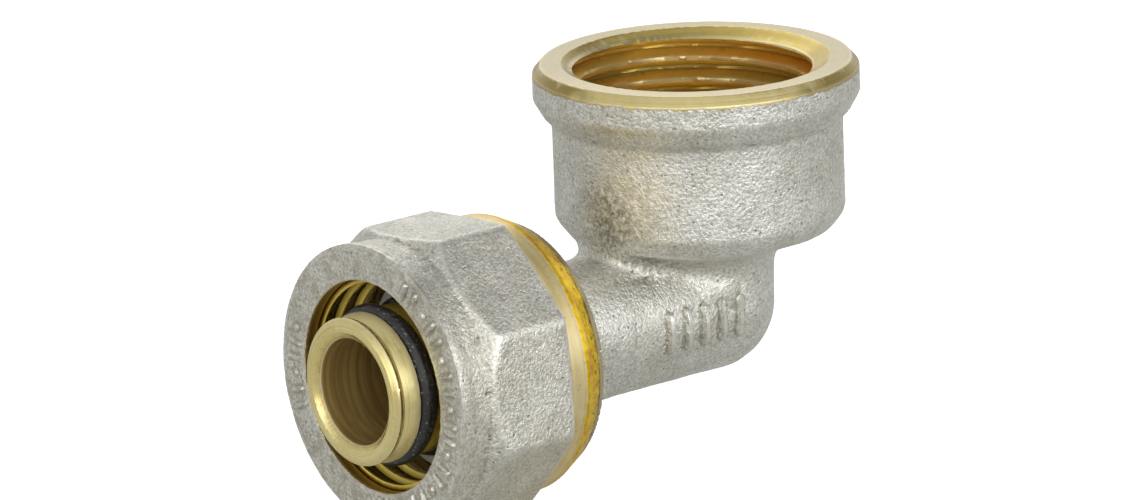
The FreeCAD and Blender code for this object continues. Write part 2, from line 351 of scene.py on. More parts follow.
SOCKET_CAVITY = Profile(soften([
    (0, 1.0), (12.68, 1.0), (10.76, 0.0, 0.04), (9.3155, -0.76, 0.05), (9.3155, -11.7, 0.2), (4.7, -11.72, 0.2),
    (4.25, -12.1), (4.25, -15.0), (0, -15.0),
]))
SOCKET_THREAD = ThreadProfile(G_P, 9.3155, 10.46, 0.32, 0.26, 0.10)
INSERT_BORE = Profile([(0, 30), (4.25, 30), (4.25, 35.5), (4.42, 35.66), (4.9, 36.02), (5.9, 37.0), (0, 37.0)])

# Raised lot marks on the side of the elbow: (s, height above axis, kind, sizes). A plain row of equal bars.
SIDE_MARKS = [
    (8.30, 0.0, "bar", 0.28, 1.40, 0.0), (6.50, 0.0, "bar", 0.28, 1.40, 0.0), (4.70, 0.0, "bar", 0.28, 1.40, 0.0),
    (2.90, 0.0, "bar", 0.28, 1.40, 0.0), (1.10, 0.0, "bar", 0.28, 1.40, 0.0),
]


def side_marks(s, v):
    """2-D distance of the lot marks on the unrolled side (s along the pipe, v round it), in mm."""
    d = np.full(s.shape, 9.0)
    for cs, cv, kind, a, b, tilt in SIDE_MARKS:
        u, w = s - cs, v - cv
        if kind == "bar":
            ct, st = math.cos(tilt), math.sin(tilt)
            u2, w2 = u * ct + w * st, -u * st + w * ct
            k = np.hypot(u2, w2 - np.clip(w2, -b, b)) - a
        else:
            k = np.hypot(u, w) - a
        d = np.minimum(d, k)
    return d


def body_field(p):
    x, y, z = p.T
    zz = z + H
    s = -y
    r = np.hypot(x, y)
    rp = np.hypot(x, zz)
    # forging
    socket = SOCKET(r, z)
    t = np.clip(zz, 0, 6.5)
    neck = np.sqrt(x * x + y * y + (zz - t) ** 2) - (R_TUBE + 0.08 * sstep(1.0, 4.0, zz))
    t = np.clip(s, 0, 15.0)
    tube = np.sqrt(x * x + zz * zz + (s - t) ** 2) - (R_TUBE - 0.06 * sstep(0.5, 4.0, s))
    k = 0.02 + 1.8 * sstep(0.0, 2.5, s) * sstep(0.0, 2.5, zz)
    elbow = smin(neck, tube, k)
    crotch = sstep(3.0, 8.0, s) * (1 - sstep(5.0, 8.5, np.abs(x)))
    cast = smin(socket, elbow, 1.25 + 1.2 * crotch)
    # rounded web that fills the crotch between the tube and the socket's underside
    t = np.clip(z, -15.0, -12.6)
    web = np.sqrt(x * x + (s - 7.75) ** 2 + (z - t) ** 2) - 3.35
    cast = smin(cast, web, 0.8)
    # raised lot marks, flank rounded, slightly eroded
    near = (x > 3.0) & (np.abs(zz) < 3.2) & (s > -2) & (s < 11) & (np.abs(cast) < 1.0)
    if near.any():
        v = R_TUBE * np.arcsin(np.clip(zz[near] / R_TUBE, -1, 1))
        q = p[near]
        m2 = side_marks(s[near], v) + 0.04 * noise(q, 0.55, 21)
        lift = 0.40 * (1 - sstep(-0.14, 0.12, m2)) * (1 + 0.20 * noise(q, 0.9, 22))
        cast[near] -= lift
    # as-forged skin: shallow waviness and pitting, only on the unmachined outside
    close = np.abs(cast) < 0.5
    if close.any():
        q = p[close]
        machined = np.maximum(sstep(-1.15, -0.85, q[:, 2]) * sstep(9.0, 11.0, r[close]), sstep(17.0, 18.0, s[close]))
        pits = np.clip(noise(q, 0.62, 3) - 0.42, 0, 1) * 0.11
        skin = 0.028 * noise(q, 2.6, 1) + 0.018 * noise(q, 0.8, 2) + pits
        cast[close] += skin * (1 - machined)
    port = FLARE_AND_INSERT(rp, s)
    solid = smin(cast, port, 0.25 * (1 - sstep(17.0, 19.0, s)) + 0.001)
    th = np.arctan2(zz, x)
    band = (np.abs(rp - 9.4) < 1.6) & (s > 17.5) & (s < 27.5)
    if band.any():
        a = np.maximum(SPIGOT_THREAD(rp[band], s[band], th[band], THREAD_PHASE + N_P / 2), SPIGOT_LIMITS(rp[band], s[band]))
        solid[band] = np.minimum(solid[band], a)
    # waterway and socket
    t = np.clip(zz, 0, 8.0)
    w1 = np.sqrt(x * x + y * y + (zz - t) ** 2) - R_BORE
    t = np.clip(s, 0, 40.0)
    w2 = np.sqrt(x * x + zz * zz + (s - t) ** 2) - R_BORE
    hollow = np.minimum(np.minimum(w1, w2), INSERT_BORE(rp, s))
    cavity = SOCKET_CAVITY(r, z)
    band = (np.abs(r - 9.9) < 1.6) & (z > -12.0) & (z < 0.6)
    if band.any():
        tt = np.arctan2(y[band], x[band])
        zb = z[band]
        g = SOCKET_THREAD(r[band], zb, tt, -13.0)
        g = np.maximum(g, np.maximum(zb - 0.2, -9.55 - zb))
        cavity[band] = np.minimum(cavity[band], g)
    hollow = np.minimum(hollow, cavity)
    return smax(solid, -hollow, 0.03)


# =============================================================================================================
# Octagonal nut, in the port's local frame: u = x, v = z + H, s
# =============================================================================================================
NUT_PHI = math.radians(115.9)
NUT_IN = 11.385
NUT_TURNED = Profile(soften([
    (0, 18.95), (10.14, 18.95, 0.05), (11.16, 21.03, 0.06), (11.28, 22.8), (11.28, 23.6), (10.6, 24.2),
    (10.9, 30.2), (11.12, 31.0, 0.4), (11.12, 32.4, 0.5), (11.29, 33.15, 0.3), (11.3, 33.86, 0.10), (0, 33.86),
]))
NUT_ENVELOPE = Profile([(0, 23.02), (11.2, 23.02), (12.6, 23.32), (12.6, 29.42), (11.0, 31.14), (10.6, 31.6), (0, 31.6)])
NUT_CAVITY = Profile(soften([
    (0, 17.9), (11.12, 17.95), (10.06, 18.95, 0.03), (9.22, 19.85, 0.03), (9.22, 26.1), (10.15, 26.6, 0.1), (10.15, 27.5, 0.2),
    (9.2, 28.0, 0.15), (9.2, 31.3, 0.2), (8.45, 32.9, 0.25), (8.45, 33.78, 0.04), (8.60, 33.90), (8.7, 35.0), (0, 35.0),
]))
NUT_THREAD = ThreadProfile(1.5, 9.22, 10.06, 0.16, 0.24, 0.04)

# Raised figures on the nut's face, along the arc: (angle from +X towards +Z in degrees, kind, size)
FACE_MARKS = []
_rs = np.random.RandomState(5)
for a0, a1, stepd in ((62, -96, 7.6), (200, 155, 7.6)):
    a = a0
    k = 0
    while a > a1:
        FACE_MARKS.append((a, ("bar", "bar", "pip")[k % 3], _rs.uniform(0.92, 1.08), 0.0))
        a -= stepd
        k += 1


def face_marks(r, th):
    """2-D distance of the raised figures on the nut's face (r, angle about the pipe axis)."""
    d = np.full(r.shape, 9.0)
    for deg, kind, size, tilt in FACE_MARKS:
        da = (th - math.radians(deg) + math.pi) % (2 * math.pi) - math.pi
        u, w = da * 9.8, r - 9.74
        if kind == "bar":
            ct, st = math.cos(tilt), math.sin(tilt)
            u2, w2 = u * ct + w * st, -u * st + w * ct
            k = np.hypot(u2, w2 - np.clip(w2, -0.62 * size, 0.62 * size)) - 0.17
        else:
            k = np.hypot(u, w) - 0.30 * size
        d = np.minimum(d, k)
    return d


def nut_field(p):
    x, y, z = p.T
    v = z + H
    s = -y
    r = np.hypot(x, v)
    th = np.arctan2(v, x)
    # octagon
    sector = math.pi / 4
    a = (th - NUT_PHI - sector / 2 + math.pi * 4) % sector
    a = np.minimum(a, sector - a)             # angle from the flat's normal is a, 0..22.5 deg
    flat = r * np.cos(a) - NUT_IN
    flat2 = r * np.cos(sector - a) - NUT_IN
    prism = smax(flat, flat2, 0.34)
    prism = smax(prism, NUT_ENVELOPE(r, s), 0.22)
    solid = smin(prism, NUT_TURNED(r, s), 0.16)
    close = np.abs(solid) < 0.5
    if close.any():
        q = p[close]
        turned = np.maximum(1 - sstep(23.1, 23.25, s[close]), 1 - sstep(8.5, 8.8, r[close]))
        skin = 0.02 * noise(q, 2.2, 11) + 0.014 * noise(q, 0.7, 12) + np.clip(noise(q, 0.55, 13) - 0.45, 0, 1) * 0.09
        solid[close] += skin * (1 - turned)
    near = (s > 33.2) & (r > 8.6) & (r < 11.3) & (np.abs(solid) < 0.9)
    if near.any():
        q = p[near]
        m2 = face_marks(r[near], th[near]) + 0.05 * noise(q, 0.42, 14)
        lift = 0.21 * (1 - sstep(-0.12, 0.10, m2)) * (1 + 0.55 * noise(q, 0.55, 15))
        solid[near] -= lift
    hollow = NUT_CAVITY(r, s)
    band = (np.abs(r - 9.6) < 1.5) & (s > 17.5) & (s < 27.3)
    if band.any():
        g = NUT_THREAD(r[band], s[band], th[band], THREAD_PHASE + N_P / 2)
        hollow[band] = np.minimum(hollow[band], np.maximum(g, s[band] - 26.7))
    return smax(solid, -hollow, 0.03)


# =============================================================================================================
# Split compression ring
# =============================================================================================================
_ridges = []
_z = 32.68
for _k in range(3):
    _ridges += [(8.03, _z, 0.03), (8.03, _z - 0.17, 0.03)]
    if _k < 2:
        _ridges += [(8.46, _z - 0.55, 0.05), (8.46, _z - 1.40, 0.05)]
    _z -= 1.68
RING_SECTION = Profile(soften([
    (8.33, 28.0, 0.05), (8.65, 28.0, 0.08), (8.98, 28.5, 0.1), (8.98, 31.45, 0.12), (8.42, 32.74, 0.04), (8.14, 32.75, 0.05)]
    + _ridges), step=0.015)


def ring_field(p):
    x, y, z = p.T
    v = z + H
    r = np.hypot(x, v)
    d = RING_SECTION(r, -y)
    g = math.radians(-12.0)
    across = -x * math.sin(g) + v * math.cos(g)
    along = x * math.cos(g) + v * math.sin(g)
    slot = np.maximum(np.abs(across) - 0.8, -along)
    return smax(d, -slot, 0.06)


# =============================================================================================================
# O-rings and washer
# =============================================================================================================
def o_ring(name, centre_s, seed):
    """Moulded ring with a fine parting flash, a hair of waviness, and slight flattening where it sits."""
    nu, nv = 320, 48
    U, W = np.meshgrid(np.arange(nu) * 2 * math.pi / nu, np.arange(nv) * 2 * math.pi / nv, indexing="ij")
    rad = 0.72 - 0.012
    flash = 0.016 * np.exp(-((np.angle(np.exp(1j * (W - 0.35)))) / 0.07) ** 2)
    flash += 0.012 * np.exp(-((np.angle(np.exp(1j * (W - 0.35 + math.pi)))) / 0.07) ** 2)
    base = np.stack([np.cos(U) * 6, np.sin(U) * 6, W], -1).reshape(-1, 3)
    bump = 0.009 * noise(base, 1.4, seed).reshape(U.shape) + 0.005 * noise(base * np.array([1, 1, 3.0]), 0.5, seed + 1).reshape(U.shape)
    rr = np.minimum(rad + flash + bump, 0.735)
    R = 5.72 + rr * np.cos(W)
    R = np.maximum(R, 5.004)
    pts = np.stack([R * np.cos(U), -(centre_s + rr * np.sin(W)), R * np.sin(U) - H], -1).reshape(-1, 3)
    i = np.arange(nu)[:, None]
    j = np.arange(nv)[None]
    q = np.stack([i * nv + j + 0 * i, ((i + 1) % nu) * nv + j, ((i + 1) % nu) * nv + (j + 1) % nv, i * nv + (j + 1) % nv], -1)
    q = q.reshape(-1, 4)
    c = pts[q].mean(1)
    n = np.cross(pts[q[:, 1]] - pts[q[:, 0]], pts[q[:, 2]] - pts[q[:, 0]])
    rc = np.hypot(c[:, 0], c[:, 2] + H)
    out = np.stack([c[:, 0] * (1 - 5.72 / rc), c[:, 1] + centre_s, (c[:, 2] + H) * (1 - 5.72 / rc)], -1)
    if (np.einsum("ij,ij->i", n, out) < 0).mean() > 0.5:
        q = q[:, ::-1]
    return to_object(name, pts, q, 0)


def lathe(name, pts2, nu, wobble=0.0, seed=0):
    """Closed section (r, s) turned about the pipe axis."""
    m = len(pts2)
    a = np.array(pts2, float)
    U = np.arange(nu) * 2 * math.pi / nu
    R = np.repeat(a[None, :, 0], nu, 0)
    S = np.repeat(a[None, :, 1], nu, 0)
    P = np.stack([R * np.cos(U)[:, None], -S, R * np.sin(U)[:, None] - H], -1).reshape(-1, 3)
    i = np.arange(nu)[:, None]
    j = np.arange(m)[None]
    q = np.stack([i * m + j, i * m + (j + 1) % m, ((i + 1) % nu) * m + (j + 1) % m, ((i + 1) % nu) * m + j], -1).reshape(-1, 4)
    n = np.cross(P[q[:, 1]] - P[q[:, 0]], P[q[:, 2]] - P[q[:, 0]])
    vol = np.einsum("ij,ij->i", n, P[q[:, 0]]).sum()
    if vol < 0:
        q = q[:, ::-1]
    if wobble:
        P = P + wobble * noise(P, 1.3, seed)[:, None] * np.array([1, 0.5, 1])
    return to_object(name, P, q, 40)


# =============================================================================================================
# Build the pieces
# =============================================================================================================
def thin(ob, most):
    """Fewer triangles where the surface is plain, so that the piece stays under `most` triangles."""
    tris = sum(len(p.vertices) - 2 for p in ob.data.polygons)
    if tris <= most:
        return ob
    mod = ob.modifiers.new("thin", "DECIMATE")
    mod.ratio = most / tris
    dg = bpy.context.evaluated_depsgraph_get()
    me = bpy.data.meshes.new_from_object(ob.evaluated_get(dg), depsgraph=dg)
    old = ob.data
    ob.modifiers.clear()
    ob.data = me
    bpy.data.meshes.remove(old)
    me.name = ob.name
    me.set_sharp_from_angle(angle=math.radians(32.0))
    return ob


def creases(ob, zone, deg):
    """Crisp shading across low-angle edges where the piece is machined."""
    me = ob.data
    ev = np.empty(len(me.edges) * 2, np.int32)
    me.edges.foreach_get("vertices", ev)
    le = np.empty(len(me.loops), np.int32)
    me.loops.foreach_get("edge_index", le)
    tot = np.empty(len(me.polygons), np.int32)
    me.polygons.foreach_get("loop_total", tot)
    nrm = np.empty(len(me.polygons) * 3, np.float32)
    me.polygons.foreach_get("normal", nrm)
    nrm = nrm.reshape(-1, 3)
    poly = np.repeat(np.arange(len(tot)), tot)
    order = np.argsort(le, kind="stable")
    le, poly = le[order], poly[order]
    first = np.flatnonzero(np.r_[True, le[1:] != le[:-1]])
    first = first[np.diff(np.r_[first, len(le)]) == 2]
    turn = np.einsum("ij,ij->i", nrm[poly[first]], nrm[poly[first + 1]]) < math.cos(math.radians(deg))
    e = le[first]
    e = e[turn & zone(coords(ob)[ev.reshape(-1, 2)[e]].mean(1))]
    at = me.attributes.get("sharp_edge") or me.attributes.new("sharp_edge", "BOOLEAN", "EDGE")
    v = np.zeros(len(me.edges), bool)
    at.data.foreach_get("value", v)
    v[e] = True
    at.data.foreach_set("value", v)
    me.update()


def coords(ob):
    co = np.empty(len(ob.data.vertices) * 3, np.float32)
    ob.data.vertices.foreach_get("co", co)
    return co.reshape(-1, 3).astype(float) / MM


def attribute(ob, name, values):
    a = ob.data.attributes.new(name, "FLOAT", "POINT")
    a.data.foreach_set("value", np.asarray(values, np.float32))


def edge_wear(f, p, d=0.32):
    """How convex (+) or hollow (-) the surface is at each vertex, from the field itself."""
    acc = np.zeros(len(p))
    for a in range(3):
        for sgn in (-1, 1):
            q = p.copy()
            q[:, a] += sgn * d
            acc += f(q)
    return np.clip(acc / 6 / d * 3.0, -1, 1)


V, Q = contour(body_field, (-13.9, -36.8, -30.9), (13.9, 13.9, 0.9), 0.22)
body = thin(to_object("elbow_forging", V, Q), 198000)
creases(body, lambda q: (q[:, 2] > -0.9) | (-q[:, 1] > 18.0), 17.0)
V, Q = contour(nut_field, (-12.9, -34.9, -32.8), (12.9, -18.2, -7.0), 0.19)
nut = thin(to_object("nut_octagonal", V, Q), 198000)
creases(nut, lambda q: (-q[:, 1] < 23.0) | (np.hypot(q[:, 0], q[:, 2] + H) < 8.75), 17.0)
V, Q = contour(ring_field, (-9.6, -33.3, -29.5), (9.6, -27.5, -10.3), 0.115)
ring = to_object("ring_split", V, Q)
oring1 = o_ring("o_ring_front_seal", 32.9, 31)
oring2 = o_ring("o_ring_rear_seal", 29.15, 35)
washer = lathe("washer_insulating", soften([(6.02, 26.47, 0.06), (8.05, 26.47, 0.12), (8.05, 27.45, 0.12), (6.02, 27.45, 0.06)]), 160)

p = coords(body)
r, rp, s_ = np.hypot(p[:, 0], p[:, 1]), np.hypot(p[:, 0], p[:, 2] + H), -p[:, 1]
inner = np.where(p[:, 2] > -12.6, 11.3 - r, -9.0)
zz_ = p[:, 2] + H
way = np.minimum(np.sqrt(p[:, 0] ** 2 + p[:, 1] ** 2 + (zz_ - np.clip(zz_, 0, 8)) ** 2),
                 np.sqrt(p[:, 0] ** 2 + zz_ ** 2 + (s_ - np.clip(s_, 0, 40)) ** 2))
bore = 5.0 - way
attribute(body, "brass", np.maximum.reduce([p[:, 2] + 0.93, inner, bore, s_ - 17.4]))
attribute(body, "port", sstep(15.0, 16.0, s_))
attribute(body, "bore", sstep(0.45, 0.7, bore) * np.where(p[:, 2] > -12.3, 0.0, 1.0))
attribute(body, "wear_and_hollow_shade", edge_wear(body_field, p))
p = coords(nut)
r, s_ = np.hypot(p[:, 0], p[:, 2] + H), -p[:, 1]
attribute(nut, "brass", np.maximum(23.12 - s_, np.where(s_ < 32.9, 10.45 - r, np.where(s_ < 33.7, 9.0 - r, 8.52 - r))))
attribute(nut, "rear", np.clip(21.05 - s_, -4, 4))
attribute(nut, "mouth", np.where((r < 9.3) & (s_ > 27.5), 1.0, 0.0))
attribute(nut, "wear_and_hollow_shade", edge_wear(nut_field, p))
p = coords(ring)
attribute(ring, "depth", np.hypot(p[:, 0], p[:, 2] + H))

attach(body, "elbow")
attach(nut, "nut")
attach(ring, "ring")
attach(oring1, "elbow")
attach(oring2, "elbow")
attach(washer, "elbow")
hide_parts("elbow_body")
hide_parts("octagonal_nut")
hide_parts("compression_ring")
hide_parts("front_o_ring")
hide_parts("rear_o_ring")
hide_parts("insulating_washer")


# =============================================================================================================
# Materials. Object coordinates are metres in the CAD frame; they are turned into mm first.
# =============================================================================================================
class Nodes:
    """Short names for building a shader node tree."""

    def __init__(self, name):
        self.mat = bpy.data.materials.new(name)
        self.mat.use_nodes = True
        self.nt = self.mat.node_tree
        self.nt.nodes.clear()
        self.out = self.nt.nodes.new("ShaderNodeOutputMaterial")
        self.bsdf = self.nt.nodes.new("ShaderNodeBsdfPrincipled")
        self.nt.links.new(self.bsdf.outputs[0], self.out.inputs[0])
        tc = self.nt.nodes.new("ShaderNodeTexCoord")
        self.mm = self.vmath("SCALE", tc.outputs["Object"], 1000.0)

    def put(self, socket, v):
        if isinstance(v, bpy.types.NodeSocket):
            self.nt.links.new(v, socket)
        elif isinstance(v, (tuple, list)):
            socket.default_value = tuple(v) + ((1.0,) if len(v) == 3 and len(socket.default_value) == 4 else ())
        else:
            socket.default_value = v

    def math(self, op, a, b=0.0, c=None, clamp=False):
        n = self.nt.nodes.new("ShaderNodeMath")
        n.operation = op
        n.use_clamp = clamp
        self.put(n.inputs[0], a)
        self.put(n.inputs[1], b)
        if c is not None:
            self.put(n.inputs[2], c)
        return n.outputs[0]

    def vmath(self, op, a, b=None):
        n = self.nt.nodes.new("ShaderNodeVectorMath")
        n.operation = op
        self.put(n.inputs[0], a)
        if op == "SCALE":
            self.put(n.inputs["Scale"], b)
        elif b is not None:
            self.put(n.inputs[1], b)
        return n.outputs["Value"] if op in ("LENGTH", "DOT_PRODUCT") else n.outputs[0]

    def split(self, v):
        n = self.nt.nodes.new("ShaderNodeSeparateXYZ")
        self.put(n.inputs[0], v)
        return n.outputs[0], n.outputs[1], n.outputs[2]

    def join(self, x, y, z):
        n = self.nt.nodes.new("ShaderNodeCombineXYZ")
        for i, v in enumerate((x, y, z)):
            self.put(n.inputs[i], v)
        return n.outputs[0]

    def noise(self, size, detail=2.0, rough=0.5, v=None, offset=0.0, distortion=0.0):
        """Noise with features of about `size` mm, 0..1."""
        n = self.nt.nodes.new("ShaderNodeTexNoise")
        n.noise_dimensions = "3D"
        src = v if v is not None else self.mm
        if offset:
            src = self.vmath("ADD", src, (offset, offset * 0.7, -offset))
        self.put(n.inputs["Vector"], src)
        n.inputs["Scale"].default_value = 1.0 / size
        n.inputs["Detail"].default_value = detail
        n.inputs["Roughness"].default_value = rough
        n.inputs["Distortion"].default_value = distortion
        return n.outputs["Fac"]

    def cells(self, size, v=None, offset=0.0, feature="F1", rand=1.0):
        n = self.nt.nodes.new("ShaderNodeTexVoronoi")
        n.feature = feature
        src = v if v is not None else self.mm
        if offset:
            src = self.vmath("ADD", src, (offset, -offset, offset * 0.6))
        self.put(n.inputs["Vector"], src)
        n.inputs["Scale"].default_value = 1.0 / size
        n.inputs["Randomness"].default_value = rand
        return n.outputs["Distance"], n.outputs["Color"]

    def ramp(self, v, a, b, lo=0.0, hi=1.0, smooth=True):
        n = self.nt.nodes.new("ShaderNodeMapRange")
        n.interpolation_type = "SMOOTHSTEP" if smooth else "LINEAR"
        n.clamp = True
        self.put(n.inputs["Value"], v)
        n.inputs["From Min"].default_value = a
        n.inputs["From Max"].default_value = b
        n.inputs["To Min"].default_value = lo
        n.inputs["To Max"].default_value = hi
        return n.outputs["Result"]

    def mix(self, f, a, b):
        """Colour mix."""
        n = self.nt.nodes.new("ShaderNodeMix")
        n.data_type = "RGBA"
        n.clamp_factor = True
        self.put(n.inputs[0], f)
        self.put(n.inputs[6], a)
        self.put(n.inputs[7], b)
        return n.outputs[2]

    def mixf(self, f, a, b):
        n = self.nt.nodes.new("ShaderNodeMix")
        n.data_type = "FLOAT"
        n.clamp_factor = True
        self.put(n.inputs[0], f)
        self.put(n.inputs[2], a)
        self.put(n.inputs[3], b)
        return n.outputs[0]

    def tint(self, colour, v):
        """Colour times a number."""
        return self.vmath("SCALE", colour, v)

    def attr(self, name):
        n = self.nt.nodes.new("ShaderNodeAttribute")
        n.attribute_type = "GEOMETRY"
        n.attribute_name = name
        return n.outputs["Fac"]

    def bump(self, height, mm, normal=None, strength=1.0):
        n = self.nt.nodes.new("ShaderNodeBump")
        self.put(n.inputs["Height"], height)
        n.inputs["Distance"].default_value = mm * MM
        n.inputs["Strength"].default_value = strength
        if normal is not None:
            self.put(n.inputs["Normal"], normal)
        return n.outputs[0]

    def turned(self, axis):
        """(radius, height, slow angle) about the socket's axis or the port's axis, for turning marks."""
        x, y, z = self.split(self.mm)
        if axis == "socket":
            rad = self.math("SQRT", self.math("ADD", self.math("MULTIPLY", x, x), self.math("MULTIPLY", y, y)))
            ang = self.math("ARCTAN2", y, x)
            return rad, z, ang
        v = self.math("ADD", z, H)
        rad = self.math("SQRT", self.math("ADD", self.math("MULTIPLY", x, x), self.math("MULTIPLY", v, v)))
        ang = self.math("ARCTAN2", v, x)
        return rad, self.math("MULTIPLY", y, -1.0), ang

    def across(self, port):
        """Direction across the turning marks: `port` is 1 on the pipe port and 0 on the socket."""
        x, y, z = self.split(self.mm)
        round_socket = self.join(self.math("MULTIPLY", y, -1.0), x, 0.0)
        round_port = self.join(self.math("MULTIPLY", self.math("ADD", z, H), -1.0), 0.0, x)
        m = self.nt.nodes.new("ShaderNodeMix")
        m.data_type = "VECTOR"
        self.put(m.inputs[0], port)
        self.put(m.inputs[4], round_socket)
        self.put(m.inputs[5], round_port)
        g = self.nt.nodes.new("ShaderNodeNewGeometry")
        return self.vmath("NORMALIZE", self.vmath("CROSS_PRODUCT", g.outputs["Normal"], m.outputs[1]))

    def set(self, **kw):
        names = {"color": "Base Color", "rough": "Roughness", "metal": "Metallic", "normal": "Normal", "ior": "IOR",
                 "spec": "Specular IOR Level", "coat": "Coat Weight", "sss": "Subsurface Weight", "aniso": "Anisotropic", "tangent": "Tangent"}
        for k, v in kw.items():
            self.put(self.bsdf.inputs[names[k]], v)


def nickel(n, wear_and_hollow_shade, seed, lo=(0.72, 0.71, 0.64), hi=(0.80, 0.79, 0.735)):
    """Sand-blasted nickel plate: grain, bright specks, pits, faint grey clouds. Returns colour, roughness, height."""
    grain = n.noise(0.27, 2.0, 0.6, offset=seed)
    fine = n.noise(0.13, 1.0, 0.5, offset=seed + 3)
    cloud = n.noise(5.5, 3.0, 0.55, offset=seed + 7)
    drift = n.noise(1.6, 2.0, 0.5, offset=seed + 11)
    d, _ = n.cells(0.62, offset=seed + 5)
    pit = n.ramp(d, 0.10, 0.22, 1.0, 0.0)
    pit = n.math("MULTIPLY", pit, n.ramp(n.noise(1.1, 1.0, offset=seed + 17), 0.46, 0.58))
    d2, _ = n.cells(0.42, offset=seed + 23)
    speck = n.math("MULTIPLY", n.ramp(d2, 0.12, 0.24, 1.0, 0.0), n.ramp(n.noise(0.9, 1.0, offset=seed + 29), 0.48, 0.60))
    base = n.mix(n.ramp(cloud, 0.35, 0.65), lo, hi)
    speckle = n.math("ADD", n.math("MULTIPLY", grain, 0.65), n.math("MULTIPLY", fine, 0.35))
    base = n.mix(n.ramp(speckle, 0.34, 0.66, smooth=False), n.tint(base, 0.66), n.tint(base, 1.21))
    base = n.mix(n.ramp(n.noise(2.2, 3.0, 0.6, offset=seed + 37), 0.35, 0.65), n.tint(base, 0.95), n.tint(base, 1.05))
    base = n.mix(n.math("MULTIPLY", pit, 0.75), base, (0.20, 0.19, 0.16))
    base = n.mix(n.math("MULTIPLY", speck, 0.70), base, (0.93, 0.92, 0.88))
    base = n.mix(n.ramp(wear_and_hollow_shade, 0.10, 0.50, 0.0, 0.40), base, (0.88, 0.87, 0.83))
    # painted shade: hollows and creases of the nickel are darkened where shade falls; the line above lightens worn
    # convex edges
    base = n.mix(n.ramp(wear_and_hollow_shade, -0.12, -0.60, 0.0, 0.55), base, (0.27, 0.25, 0.21))
    rough = n.ramp(drift, 0.3, 0.7, 0.40, 0.50)
    rough = n.mixf(speck, rough, 0.22)
    rough = n.mixf(n.ramp(wear_and_hollow_shade, 0.1, 0.5), rough, 0.38)
    h = n.math("ADD", n.ramp(grain, 0.25, 0.75), n.math("MULTIPLY", fine, 0.35))
    h = n.math("SUBTRACT", h, n.math("MULTIPLY", pit, 0.8))
    h = n.math("MULTIPLY", h, n.ramp(wear_and_hollow_shade, 0.06, 0.40, 1.0, 0.35))
    return base, rough, h


def brass(n, axis_coords, base_lo, base_hi, seed, fine_mm=0.11):
    """Machined brass with turning marks round the axis. Returns colour, roughness, height."""
    rad, height, ang = axis_coords
    v = n.join(rad, height, n.math("MULTIPLY", n.math("COSINE", ang), 0.07))
    lines = n.noise(fine_mm, 3.0, 0.65, v=v, offset=seed)
    broad = n.noise(0.55, 2.0, 0.5, v=v, offset=seed + 4)
    patch = n.noise(2.4, 3.0, 0.55, offset=seed + 9)
    spot = n.ramp(n.noise(0.45, 2.0, 0.6, offset=seed + 13), 0.62, 0.72)
    col = n.mix(n.ramp(patch, 0.3, 0.7), base_lo, base_hi)
    col = n.mix(n.ramp(lines, 0.3, 0.7), n.tint(col, 0.86), n.tint(col, 1.06))
    col = n.mix(n.math("MULTIPLY", spot, 0.35), col, n.tint(col, 0.45))
    rough = n.ramp(n.math("ADD", lines, broad), 0.7, 1.3, 0.20, 0.36)
    h = n.math("ADD", n.math("MULTIPLY", lines, 0.6), n.math("MULTIPLY", broad, 0.6))
    return col, rough, h


# ---- elbow -------------------------------------------------------------------------------------------------
n = Nodes("nickel_forging_and_machined_brass")
wear_and_hollow_shade = n.attr("wear_and_hollow_shade")
s_rad, s_high, s_ang = n.turned("socket")
p_rad, p_high, p_ang = n.turned("port")
burnish = n.math("MULTIPLY", n.ramp(s_high, -1.0, -0.8),
                 n.math("MAXIMUM", n.ramp(s_rad, 10.70, 10.76, 1.0, 0.0), n.ramp(s_rad, 12.44, 12.50)))
rimtop = n.math("MULTIPLY", n.ramp(s_high, -0.05, -0.02),
                n.math("MULTIPLY", n.ramp(s_rad, 10.72, 10.78), n.ramp(s_rad, 12.38, 12.44, 1.0, 0.0)))
land = n.math("MULTIPLY", n.ramp(p_high, 33.62, 33.70),
              n.math("MULTIPLY", n.ramp(p_rad, 5.6, 5.75), n.ramp(p_high, 35.28, 35.36, 1.0, 0.0)))
edge = n.math("ADD", n.attr("brass"), n.math("MULTIPLY", n.math("SUBTRACT", n.noise(0.55, 3.0, 0.65), 0.5), 0.62))
is_brass = n.ramp(edge, -0.03, 0.05)
col_n, rough_n, h_n = nickel(n, wear_and_hollow_shade, 0.0)
# brownish handling stains low on the socket's front left, and a brownish darkening low in the crotch between the tube
# and the socket
x, y, z = n.split(n.mm)
near_a = n.ramp(n.vmath("LENGTH", n.vmath("SUBTRACT", n.mm, STAIN_AT)), 4.7, 0.7)
near_b = n.ramp(n.vmath("LENGTH", n.vmath("SUBTRACT", n.mm, (2.5, -8.5, -14.6))), 5.0, 1.0, 0.0, 0.75)
painted_highlight_zone = n.ramp(n.vmath("LENGTH", n.vmath("SUBTRACT", n.mm, (4.9, -10.5, -8.2))), 4.6, 0.9)
grit = n.math("MULTIPLY", n.ramp(n.noise(0.40, 3.0, 0.6, offset=40), 0.36, 0.62), n.ramp(n.noise(1.8, 3.0, 0.6, offset=43), 0.34, 0.56, 0.35, 1.0))
stain = n.math("MULTIPLY", grit, n.math("MAXIMUM", near_a, near_b))
